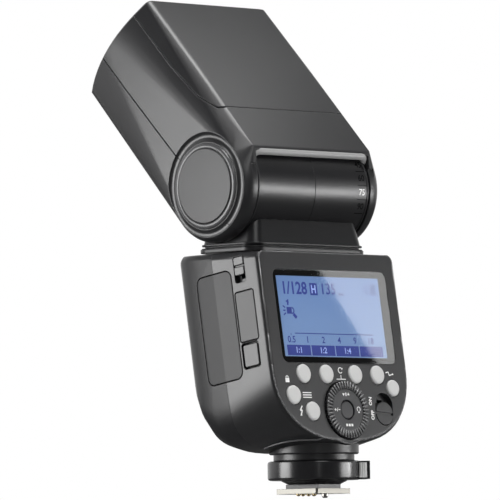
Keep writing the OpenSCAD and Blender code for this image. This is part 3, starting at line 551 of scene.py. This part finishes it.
def wedge(shape, at, size, turn=0.0):  # a small solid triangle that points along +X before it is turned
    place = Matrix.Translation((*at, 0)) @ Matrix.Rotation(radians(turn), 4, "Z")
    bmesh.ops.create_cone(
        shape, cap_ends=True, segments=3, radius1=size, radius2=size, depth=inkThickness, matrix=place
    )


facePlane = bodyFrame @ Matrix.Translation((0, face["y"] - 0.02, 0)) @ Matrix.Rotation(pi / 2, 4, "X")
padPlane = bodyFrame @ Matrix.Translation((0, face["y"] - 1.0, 0)) @ Matrix.Rotation(pi / 2, 4, "X")


def makePanelMarks():
    shape = bmesh.new()
    menuX, menuZ = face["menu"]
    testX, testZ = face["test"]
    farX, farZ = face["wireless"]
    # Padlock over the menu button
    block(shape, (menuX - 2.4, menuZ + 5.6), (2.0, 1.7))
    loop(shape, (menuX - 2.4, menuZ + 6.6), 0.62, 0.34, 0, 180, 8)
    # Three short lines beside it
    for i in (-1, 0, 1):
        block(shape, (menuX + 7.2, menuZ + 0.9 * i), (4.6, 0.36))
    # Bolt beside the test button
    bolt = [(0.5, 1.7), (-0.75, -0.05), (0.35, 0.1), (-0.5, -1.7)]
    strokes(shape, [(testX - 6.0 + x, testZ + 0.2 + z) for x, z in bolt], 0.5)
    wedge(shape, (testX - 6.45, testZ - 1.5), 0.62, 250)
    # A stand with a round arrow above, between the middle buttons
    midX = sum(face["functionX"][1:3]) / 2
    midZ = face["functionZ"]
    block(shape, (midX, midZ - 1.9), (5.0, 0.32))
    bar(shape, (midX, midZ - 1.9), (midX, midZ - 0.3), 0.32)
    loop(shape, (midX, midZ + 1.5), 1.05, 0.34, 40, 280, 14)
    wedge(shape, (midX + 0.95, midZ + 2.1), 0.55, 60)
    # Zigzag arrow over the wireless button
    zig = [(-1.9, 0.5), (-0.4, 0.9), (-0.1, -0.5), (1.6, -0.1)]
    strokes(shape, [(farX - 1.0 + x, farZ + 5.4 + z) for x, z in zig], 0.36)
    wedge(shape, (farX + 0.9, farZ + 5.4), 0.5, 10)
    # ON and OFF run up the switch's left edge
    lean = face["switchLean"]
    switchX, switchZ = face["switch"]
    letters(shape, "ON", (switchX - 6.9, switchZ + 3.0), 2.1, 90 - lean, weight=0.06)
    letters(shape, "OFF", (switchX - 6.5, switchZ - 2.4), 2.1, 90 - lean, weight=0.06)
    piece = meshPiece("panel_marks", shape)
    return layDown(piece, facePlane, "body", finish["whitePrint"])


def makePadMarks():
    shape = bmesh.new()
    x, z = face["dial"]
    reach = 5.9
    for side in (-1, 1):  # zoom: two wedges apart
        wedge(shape, (x + 1.3 * side, z + reach), 0.72, 90 - 90 * side)
    block(shape, (x, z + reach), (0.5, 1.3))
    for i in (-1, 0, 1):  # mode: three squares in a row
        block(shape, (x + 1.4 * i, z - reach), (0.95, 0.95))
    bar(shape, (x - reach - 1.2, z), (x - reach - 0.2, z), 0.3)
    bar(shape, (x - reach - 0.7, z - 0.5), (x - reach - 0.7, z + 0.5), 0.3)
    bar(shape, (x - reach + 0.2, z - 0.7), (x - reach + 0.6, z + 0.7), 0.24)
    bar(shape, (x - reach + 0.9, z), (x - reach + 1.8, z), 0.3)
    loop(shape, (x + reach, z + 0.25), 0.85, 0.28, -50, 280, 14)
    block(shape, (x + reach, z - 0.95), (0.8, 0.5))
    piece = meshPiece("pad_marks", shape)
    return layDown(piece, padPlane, "dial_pad", finish["whitePrint"])


makePanelMarks()
makePadMarks()
print("panel printed")

# What the display shows, in millimetres from its centre
screen = {
    "light": (55.0, 31.0),
    "window": (60.4, 35.4),
    "centre": (-0.7, 0.0),
    "depth": 1.16,
    "scale": ("0.5", "1", "2", "4", "9", "18"),
    "cells": ("1:1", "1:2", "1:4", ""),
}


def makeDisplayMask():  # the black border printed behind the window, round the lit part
    shape = bmesh.new()
    across, up = screen["light"]
    outer = screen["window"]
    for side in (-1, 1):
        rim = (outer[0] - across) / 2 + side * -screen["centre"][0]
        block(shape, (side * (outer[0] / 2 - rim / 2), 0), (rim, outer[1]))
        rise = (outer[1] - up) / 2
        block(shape, (screen["centre"][0], side * (outer[1] / 2 - rise / 2)), (across, rise))
    piece = meshPiece("display_mask", shape)
    plane = bodyFrame @ Matrix.Translation((face["display"][0], face["y"] + screen["depth"] + 0.06,
                                            face["display"][1])) @ Matrix.Rotation(pi / 2, 4, "X")
    return layDown(piece, plane, "body", finish["darkPrint"])


def makeDisplayMarks():
    width, height = screen["light"]
    left, top = -width / 2, height / 2
    shape = bmesh.new()
    letters(shape, "1/128", (left + 9.0, top - 4.9), 6.6, weight=0.16, across=0.92)
    block(shape, (left + 19.4, top - 4.9), (4.0, 4.7))
    letters(shape, "135", (left + 27.2, top - 4.9), 6.0, weight=0.07, across=0.95)
    for step in (0, 1.5):
        block(shape, (left + 33.3 + step, top - 6.6), (1.1, 0.9))
    # Speaker and battery
    right = width / 2
    strokes(shape, [(right - 8.8, top - 5.2), (right - 8.8, top - 3.8), (right - 7.9, top - 3.8),
                    (right - 6.6, top - 2.6), (right - 6.6, top - 6.4), (right - 7.9, top - 5.2),
                    (right - 8.8, top - 5.2)], 0.26)
    strokes(shape, [(right - 4.6, top - 6.6), (right - 4.6, top - 2.6), (right - 2.2, top - 2.6),
                    (right - 2.2, top - 6.6), (right - 4.6, top - 6.6)], 0.3)
    for i in range(3):
        block(shape, (right - 3.4, top - 3.5 - 1.1 * i), (1.5, 0.65))
    # A lamp with rays and an arrow above it
    lampX, lampZ = left + 5.0, top - 13.4
    block(shape, (lampX, lampZ), (2.6, 2.6))
    loop(shape, (lampX + 1.4, lampZ), 1.1, 0.55, -90, 180, 8)
    bar(shape, (lampX + 2.0, lampZ - 1.3), (lampX + 3.5, lampZ - 2.8), 1.3)
    for ray in (-1, 0, 1):
        bar(shape, (lampX - 2.0, lampZ + 1.0 * ray), (lampX - 3.2, lampZ + 1.8 * ray), 0.5)
    wedge(shape, (lampX - 0.4, lampZ + 3.5), 1.1, 90)
    block(shape, (lampX - 0.4, lampZ + 2.6), (0.7, 1.2))
    # Scale
    scaleZ = -height / 2 + 8.9
    block(shape, (0.2, scaleZ), (42.5, 0.34))
    spots = [left + 4.4 + 8.5 * i for i in range(6)]
    bar(shape, (spots[0], scaleZ), (spots[0], scaleZ - 0.8), 0.26)
    for spot, number in zip(spots, screen["scale"]):
        letters(shape, number, (spot, scaleZ - 2.5), 3.5, weight=0.05)
    # Cells along the bottom
    cell = (width - 3.0) / 4
    for i in range(4):
        block(shape, (left + 1.2 + cell * (i + 0.5), -height / 2 + 2.4), (cell - 0.5, 4.0))
    piece = meshPiece("display_marks", shape)
    plane = bodyFrame @ Matrix.Translation((face["display"][0] + screen["centre"][0],
        face["y"] + screen["depth"], face["display"][1])) @ Matrix.Rotation(pi / 2, 4, "X")
    layDown(piece, plane, "body", finish["displayInk"])
    shape = bmesh.new()
    for i, words in enumerate(screen["cells"]):
        if words:
            letters(shape, words, (left + 1.2 + cell * (i + 0.5), -height / 2 + 2.4), 3.2, weight=0.05)
    for side in (-1, 1):  # two pale uprights and a bridge in the solid box
        block(shape, (left + 19.4 + 0.9 * side, top - 4.9), (0.55, 3.2))
    block(shape, (left + 19.4, top - 4.9), (1.4, 0.55))
    piece = meshPiece("display_cell_marks", shape)
    return layDown(piece, plane @ Matrix.Translation((0, 0, 0.03)), "body", finish["displayPale"])


makeDisplayMask()
makeDisplayMarks()
print("display drawn")

# Angle numbers stand on the right end of the drum, where the head's ear passes them; all are dark print except the
# number named white, printed white as a painted highlight
angleScale = {"x": 26.2, "radius": 21.0, "white": 75, "drop": 4.0, "numbers": (45, 60, 75, 90), "size": 3.4}


def makeAngleMarks():
    paintedGlint, dark = bmesh.new(), bmesh.new()
    for step in range(8):
        angle = angleScale["numbers"][0] + 7.5 * step
        level = radians(angle - angleScale["white"] + angleScale["drop"])
        spot = hingeFrame @ Matrix.Rotation(level, 4, "X") @ Matrix.Translation(
            (angleScale["x"], -angleScale["radius"], 0)
        ) @ Matrix.Rotation(pi / 2, 4, "X")
        stroke = bmesh.new()
        if angle in angleScale["numbers"]:
            letters(stroke, str(int(angle)), (0, 0), angleScale["size"], weight=0.03)
        else:
            block(stroke, (0, 0), (4.6, 0.28))
        bmesh.ops.transform(stroke, matrix=spot, verts=stroke.verts)
        mesh = bpy.data.meshes.new("stroke")
        stroke.to_mesh(mesh)
        (paintedGlint if angle == angleScale["white"] else dark).from_mesh(mesh)
        stroke.free()
        bpy.data.meshes.remove(mesh)
    # the number named white goes in white print as a painted highlight; the rest go in dark print
    for name, shape, colour in (("angle_painted_glint", paintedGlint, "whitePrint"), ("angle_marks", dark, "darkPrint")):
        piece = meshPiece(name, shape)
        layDown(piece, Matrix.Identity(4), "neck", finish[colour])


makeAngleMarks()
print("drum marked")

# The lip over the drum ends in a rounded bead, coloured mid grey as a painted highlight, and each end of the drum
# has a thin raised band
bead = {"radius": 1.4, "half": 30.0, "back": -4.9, "height": 22.65, "turnDown": 3.0}
bands = {"radius": 21.22, "inner": 20.2, "width": 0.9, "chamfer": 0.15, "at": (-29.3, 29.2)}


def makeLipBead():
    path = bpy.data.curves.new("bead", "CURVE")
    path.dimensions = "3D"
    path.bevel_depth = bead["radius"]
    path.bevel_resolution = 6
    path.use_fill_caps = True
    line = path.splines.new("POLY")
    corner = [
        (bead["half"] - bead["turnDown"] + bead["turnDown"] * sin(radians(a)),
         bead["height"] - bead["turnDown"] * (1 - cos(radians(a))))
        for a in range(0, 91, 15)
    ]
    points = [(-x, bead["back"], v) for x, v in reversed(corner)] + [(x, bead["back"], v) for x, v in corner]
    line.points.add(len(points) - 1)
    for point, place in zip(line.points, points):
        point.co = (*place, 1)
    drawn = bpy.data.objects.new("bead", path)
    scene.collection.objects.link(drawn)
    bpy.context.view_layer.update()
    mesh = bpy.data.meshes.new_from_object(drawn.evaluated_get(bpy.context.evaluated_depsgraph_get()))
    bpy.data.objects.remove(drawn)
    piece = bpy.data.objects.new("lip_bead", mesh)
    scene.collection.objects.link(piece)
    for polygon in mesh.polygons:
        polygon.use_smooth = True
    return layDown(piece, headFrame, "head", finish["lipPaintedHighlight"])


def makeDrumBands():
    shape = bmesh.new()
    radius, chamfer = bands["radius"], bands["chamfer"]
    for x in bands["at"]:
        left, right = x - bands["width"] / 2, x + bands["width"] / 2
        rim = [(left, bands["inner"]), (left, radius - chamfer), (left + chamfer, radius),
               (right - chamfer, radius), (right, radius - chamfer), (right, bands["inner"])]
        verts = [shape.verts.new((across, -out, 0)) for across, out in rim]
        sides = [shape.edges.new(pair) for pair in zip(verts, verts[1:] + verts[:1])]
        bmesh.ops.spin(shape, geom=verts + sides, cent=(0, 0, 0), axis=(1, 0, 0), angle=2 * pi, steps=96,
                       use_merge=True)
    piece = meshPiece("drum_bands", shape)
    for polygon in piece.data.polygons:
        polygon.use_smooth = True
    piece.data.set_sharp_from_angle(angle=radians(50))
    return layDown(piece, hingeFrame, "neck", finish["drumPlastic"])


makeLipBead()
makeDrumBands()
print("hinge trimmed")

# Round lines on the body: the raised arch over the foot, the rim of the control face and the dial's ribs, each
# coloured paler than the body as a painted highlight
arch = {"radius": 22.6, "start": 160, "end": 250, "steps": 40, "thick": 0.38}
faceRim = {"behind": 0.35, "thick": 0.3}
dialRibs = {"count": 44, "inner": 8.3, "outer": 10.8, "thick": 0.33, "rise": 1.15}


def rod(shape, start, end, radius):  # a thin round rod from one point to another
    run = end - start
    place = Matrix.Translation((start + end) / 2) @ run.to_track_quat("Z", "Y").to_matrix().to_4x4()
    bmesh.ops.create_cone(shape, cap_ends=True, segments=8, radius1=radius, radius2=radius,
                          depth=run.length + radius, matrix=place)


# a thin raised line along the arch over the foot, coloured pale as a painted edge highlight
def makeFootArch():
    foot = Vector(joints["lock_ring_turn"]["pos_m"])
    housing = bmesh.new()
    housing.from_mesh(nodes["rear_housing"].data)
    skin = BVHTree.FromBMesh(housing)
    housing.free()
    shape = bmesh.new()
    spots = []
    reach = arch["radius"] * mm
    for i in range(arch["steps"] + 1):
        angle = radians(arch["start"] + (arch["end"] - arch["start"]) * i / arch["steps"])
        below = Vector((foot.x + reach * cos(angle), foot.y + reach * sin(angle), 0))
        hit = skin.ray_cast(below, Vector((0, 0, 1)))[0]
        if hit:
            spots.append(hit)
    for start, end in zip(spots, spots[1:]):
        rod(shape, start, end, arch["thick"] * mm)
    piece = meshPiece("foot_arch", shape)
    for polygon in piece.data.polygons:
        polygon.use_smooth = True
    return layDown(piece, Matrix.Identity(4), "body", finish["rimPaintedHighlight"])


def makeFaceRim():  # the rounded edge of the control face: the longest outline of a cut just inside it, coloured paler than the body as a painted highlight
    cut = bmesh.new()
    cut.from_mesh(nodes["rear_housing"].data)
    bmesh.ops.remove_doubles(cut, verts=cut.verts, dist=2e-6)
    bmesh.ops.bisect_plane(
        cut, geom=cut.verts[:] + cut.edges[:] + cut.faces[:], dist=1e-7, clear_inner=True, clear_outer=True,
        plane_co=bodyFrame @ Vector((0, face["y"] + faceRim["behind"], 0)), plane_no=bodyForward,
    )
    cut.edges.index_update()
    waiting = {edge.index: edge for edge in cut.edges}
    outlines = []
    while waiting:
        line = [waiting.pop(min(waiting))]
        for edge in line:
            for vert in edge.verts:
                line.extend(waiting.pop(near.index) for near in vert.link_edges if near.index in waiting)
        outlines.append([[vert.co.copy() for vert in edge.verts] for edge in line])
    cut.free()
    longest = max(outlines, key=lambda line: sum((end - start).length for start, end in line))
    shape = bmesh.new()
    for start, end in longest:
        rod(shape, start, end, faceRim["thick"] * mm)
    piece = meshPiece("face_rim", shape)
    for polygon in piece.data.polygons:
        polygon.use_smooth = len(polygon.vertices) == 4
    return layDown(piece, Matrix.Identity(4), "body", finish["rimPaintedHighlight"])


def makeDialRibs():  # each rib of the dial's crown has a rounded, polished back, coloured pale grey as a painted highlight
    shape = bmesh.new()
    x, z = face["dial"]
    middle = Vector((x, face["y"] - dialRibs["rise"], z))
    for i in range(dialRibs["count"]):
        angle = 2 * pi * i / dialRibs["count"]
        out = Vector((cos(angle), 0, sin(angle)))
        rod(shape, middle + dialRibs["inner"] * out, middle + dialRibs["outer"] * out, dialRibs["thick"])
    piece = meshPiece("dial_ribs", shape)
    for polygon in piece.data.polygons:
        polygon.use_smooth = len(polygon.vertices) == 4
    return layDown(piece, bodyFrame, "dial_ring", finish["ribPaintedGlint"])


makeFaceRim()
makeDialRibs()
makeFootArch()
print("body lines drawn")

# Studio: a pale floor and a curved backdrop behind, a dim room, and soft boxes
studio = {
    "floorZ": -0.16, "floorRadius": 3.4, "wallHeight": 3.0, "wallSweep": 150.0, "shade": 0.8,
    "floorShine": 0.12, "wallShine": 1.0, "room": 0.1,
}


def paleStage(name, shine):  # white to the camera and through glass, and in reflections as far as shine says
    material, tree, shader = startMaterial(name)
    shader.inputs["Base Color"].default_value = (studio["shade"],) * 3 + (1,)
    shader.inputs["Roughness"].default_value = 0.9
    white = addNode(tree, "ShaderNodeEmission", {"Color": (1, 1, 1, 1)})
    paths = addNode(tree, "ShaderNodeLightPath")
    straight = mathNode(tree, "MAXIMUM", paths.outputs["Is Camera Ray"], paths.outputs["Is Transmission Ray"])
    mirrored = mathNode(tree, "MULTIPLY", paths.outputs["Is Glossy Ray"], shine)
    tree.links.new(mathNode(tree, "MAXIMUM", straight, mirrored), white.inputs["Strength"])
    seen = mathNode(tree, "MAXIMUM", straight, paths.outputs["Is Glossy Ray"])
    mix = addNode(tree, "ShaderNodeMixShader")
    out = tree.nodes["Material Output"]
    tree.links.new(seen, mix.inputs["Fac"])
    tree.links.new(shader.outputs[0], mix.inputs[1])
    tree.links.new(white.outputs[0], mix.inputs[2])
    tree.links.new(mix.outputs[0], out.inputs["Surface"])
    return material


def makeWorld():
    world = bpy.data.worlds.new("studio")
    scene.world = world
    world.use_nodes = True
    tree = world.node_tree
    ground = tree.nodes["Background"]
    paths = addNode(tree, "ShaderNodeLightPath")
    seen = mathNode(tree, "MAXIMUM", paths.outputs["Is Camera Ray"], paths.outputs["Is Transmission Ray"])
    strength = addNode(tree, "ShaderNodeMapRange", {"To Min": studio["room"], "To Max": 1.0})
    tree.links.new(seen, strength.inputs["Value"])
    ground.inputs["Color"].default_value = (1, 1, 1, 1)
    tree.links.new(strength.outputs["Result"], ground.inputs["Strength"])


# Direction from the object, metres away, size across and up, radiance, and the way the width lies
softBoxes = {
    "leftSide": dict(direction=(-0.85, 0.525, 0.01), distance=0.75, size=(0.4, 0.3), glow=12.0),
    "overhead": dict(direction=(-0.17, -0.16, 0.95), distance=1.1, size=(0.8, 0.4), glow=12.5, along=(1, 0, 0)),
    "topRight": dict(direction=(0.4, -0.1, 0.93), distance=0.4, size=(0.18, 0.18), glow=2.8),
    "keyRear": dict(direction=(-0.3, -0.72, 0.62), distance=1.3, size=(0.55, 0.45), glow=6.2),
    "rearRight": dict(direction=(0.61, -0.79, -0.04), distance=1.2, size=(0.5, 0.18), glow=13.0),
    "ringRight": dict(direction=(0.79, -0.61, -0.03), distance=1.2, size=(0.14, 0.12), glow=30.0),
    "ringMiddle": dict(direction=(-0.545, -0.839, 0.0), distance=1.3, size=(0.03, 0.4), glow=5.0),
}


def addSoftBox(name, look):
    lamp = bpy.data.lights.new(name, "AREA")
    lamp.shape = "RECTANGLE"
    lamp.size, lamp.size_y = look["size"]
    lamp.energy = look["glow"] * pi * lamp.size * lamp.size_y
    box = bpy.data.objects.new(name, lamp)
    scene.collection.objects.link(box)
    target = Vector((0, bodyOrigin.y, cameraView["aimHeight"]))
    out = Vector(look["direction"]).normalized()
    level = Vector(look.get("along", Vector((0, 0, 1)).cross(out)))
    level = (level - level.dot(out) * out).normalized()
    turn = Matrix((level, out.cross(level), out)).transposed().to_4x4()
    box.matrix_world = Matrix.Translation(target + look["distance"] * out) @ turn
    box.visible_camera = False


glareCard = {  # a pale panel that the display window mirrors: its edge crosses the window from top to bottom
    "edge": ((-9.8, 25.0), (24.5, -24.0)), "right": 38.0, "away": 0.5, "glow": 5.0,
}


def makeGlareCard():
    eye = scene.camera.matrix_world.translation
    glass = bodyFrame @ Vector((face["display"][0], face["y"], face["display"][1]))
    mirrored = eye - 2 * (eye - glass).dot(bodyForward) * bodyForward
    (topX, topZ), (lowX, lowZ) = glareCard["edge"]
    corners = ((topX, topZ), (lowX, lowZ), (glareCard["right"], lowZ), (glareCard["right"], topZ))
    shape = bmesh.new()
    verts = []
    for x, z in corners:
        spot = bodyFrame @ Vector((face["display"][0] + x, face["y"], face["display"][1] + z))
        ray = spot - mirrored
        verts.append(shape.verts.new(spot + glareCard["away"] * ray.normalized()))
    shape.faces.new(verts)
    card = meshPiece("glare_card", shape)
    material, tree, shader = startMaterial("cardGlow")
    shader.inputs["Base Color"].default_value = (0, 0, 0, 1)
    shader.inputs["Emission Color"].default_value = (1, 1, 1, 1)
    shader.inputs["Emission Strength"].default_value = glareCard["glow"]
    paint(card, material)
    card.visible_camera = card.visible_diffuse = card.visible_transmission = card.visible_shadow = False


def makeStudio():
    shape = bmesh.new()
    bmesh.ops.create_circle(shape, cap_ends=True, segments=96, radius=studio["floorRadius"],
                            matrix=Matrix.Translation((0, 0, studio["floorZ"])))
    floor = meshPiece("floor", shape)
    paint(floor, paleStage("paleFloor", studio["floorShine"]))
    shape = bmesh.new()
    away = radians(90 - cameraView["azimuth"] - studio["wallSweep"] / 2)
    edgeX, edgeY = studio["floorRadius"] * cos(away), studio["floorRadius"] * sin(away)
    low = shape.verts.new((edgeX, edgeY, studio["floorZ"]))
    high = shape.verts.new((*low.co.xy, studio["floorZ"] + studio["wallHeight"]))
    edge = shape.edges.new((low, high))
    bmesh.ops.spin(shape, geom=[low, high, edge], cent=(0, 0, 0), axis=(0, 0, 1),
                   angle=radians(studio["wallSweep"]), steps=48)
    wall = meshPiece("backdrop", shape)
    paint(wall, paleStage("paleBackdrop", studio["wallShine"]))
    makeWorld()
    for name, look in softBoxes.items():
        addSoftBox(name, look)
    makeGlareCard()


makeStudio()
scene.view_settings.view_transform = "Standard"
print("studio lit")
